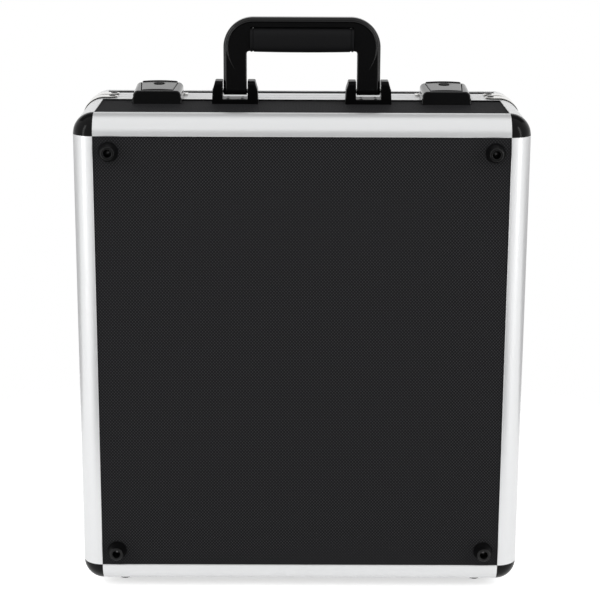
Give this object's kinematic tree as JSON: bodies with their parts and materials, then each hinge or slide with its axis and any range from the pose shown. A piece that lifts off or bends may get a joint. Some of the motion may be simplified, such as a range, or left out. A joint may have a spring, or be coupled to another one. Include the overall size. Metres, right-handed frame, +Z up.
{
  "type": "mixer case",
  "caption": "Aluminium-framed flight case for a mixing desk: black textured panels, ball corners, hinged lid, key latches, folding handle and rubber feet.",
  "frame": {"origin": "centre of the bounding box, on the surface that the bottom feet stand on", "axes": "+Z up towards the handle, -Y the footed panel, +Y the lid, X across the case"},
  "size_m": [0.434, 0.197, 0.5587],
  "materials": {
    "textured_panel": "plywood board faced with black plastic laminate, fine raised diamond texture, satin",
    "anodised_aluminium": "satin anodised extrusion",
    "gloss_black_plastic": "glossy black moulded plastic",
    "nickel_steel": "nickel-plated stamped steel",
    "dark_rivet": "blackened steel rivet",
    "zinc_steel": "zinc-plated steel",
    "foot_rubber": "black rubber, satin",
    "grip_rubber": "matte black soft rubber",
    "lock_metal": "black-chromed zinc lock",
    "black_foam": "open-cell polyurethane foam"
  },
  "bodies": {
    "base": {"base_front_panel": "textured_panel", "base_top_panel": "textured_panel", "base_bottom_panel": "textured_panel", "base_left_panel": "textured_panel", "base_right_panel": "textured_panel", "base_frame_top": "anodised_aluminium", "base_frame_bottom": "anodised_aluminium", "base_frame_left": "anodised_aluminium", "base_frame_right": "anodised_aluminium", "base_edge_profiles": "anodised_aluminium", "base_corner_posts": "anodised_aluminium", "base_corner_caps": "gloss_black_plastic", "base_corner_braces": "nickel_steel", "base_brace_rivets": "dark_rivet", "front_feet": "foot_rubber", "base_bottom_feet": "foot_rubber", "base_foot_rivets": "zinc_steel", "handle_brackets": "gloss_black_plastic", "handle_pins": "zinc_steel", "bracket_rivets": "dark_rivet", "latch_housing_left": "gloss_black_plastic", "latch_housing_right": "gloss_black_plastic", "latch_pins": "zinc_steel", "latch_rivets": "zinc_steel", "base_hinge_leaves": "nickel_steel", "hinge_pins": "nickel_steel", "base_hinge_rivets": "nickel_steel", "rim_tongue": "anodised_aluminium", "base_foam_floor": "black_foam", "base_foam_walls": "black_foam"},
    "lid": {"lid_rear_panel": "textured_panel", "lid_top_panel": "textured_panel", "lid_bottom_panel": "textured_panel", "lid_left_panel": "textured_panel", "lid_right_panel": "textured_panel", "lid_frame_top": "anodised_aluminium", "lid_frame_bottom": "anodised_aluminium", "lid_frame_left": "anodised_aluminium", "lid_frame_right": "anodised_aluminium", "lid_edge_profiles": "anodised_aluminium", "lid_corner_posts": "anodised_aluminium", "lid_corner_caps": "gloss_black_plastic", "lid_corner_braces": "nickel_steel", "lid_brace_rivets": "dark_rivet", "lid_bottom_feet": "foot_rubber", "lid_foot_rivets": "zinc_steel", "lid_keepers": "nickel_steel", "keeper_rivets": "zinc_steel", "lid_hinge_leaves": "nickel_steel", "lid_hinge_rivets": "nickel_steel", "lid_foam_pad": "black_foam"},
    "handle": {"handle_bail": "gloss_black_plastic", "handle_grip": "grip_rubber"},
    "latch_left": {"latch_lever_left": "gloss_black_plastic", "latch_hook_left": "nickel_steel"},
    "latch_right": {"latch_lever_right": "gloss_black_plastic", "latch_hook_right": "nickel_steel"},
    "lock_left": {"lock_barrel_left": "lock_metal"},
    "lock_right": {"lock_barrel_right": "lock_metal"}
  },
  "joints": [
    {"name": "lid_hinge", "type": "hinge", "parent": "base", "child": "lid", "pos_m": [0, 0.0385, 0.0067], "axis": [-1, 0, 0], "range_deg": [0, 110]},
    {"name": "handle_fold", "type": "hinge", "parent": "base", "child": "handle", "pos_m": [0, 0.00575, 0.4875], "axis": [1, 0, 0], "range_deg": [-86, 86]},
    {"name": "latch_left_flip", "type": "hinge", "parent": "base", "child": "latch_left", "pos_m": [-0.1405, 0.001, 0.48516], "axis": [1, 0, 0], "range_deg": [0, 70]},
    {"name": "latch_right_flip", "type": "hinge", "parent": "base", "child": "latch_right", "pos_m": [0.1405, 0.001, 0.48516], "axis": [1, 0, 0], "range_deg": [0, 70]},
    {"name": "lock_left_turn", "type": "hinge", "parent": "latch_left", "child": "lock_left", "pos_m": [-0.1405, 0.0285, 0.49012], "axis": [0, -0.0602, 0.9982], "range_deg": [-90, 0]},
    {"name": "lock_right_turn", "type": "hinge", "parent": "latch_right", "child": "lock_right", "pos_m": [0.1405, 0.0285, 0.49012], "axis": [0, -0.0602, 0.9982], "range_deg": [0, 90]}
  ]
}
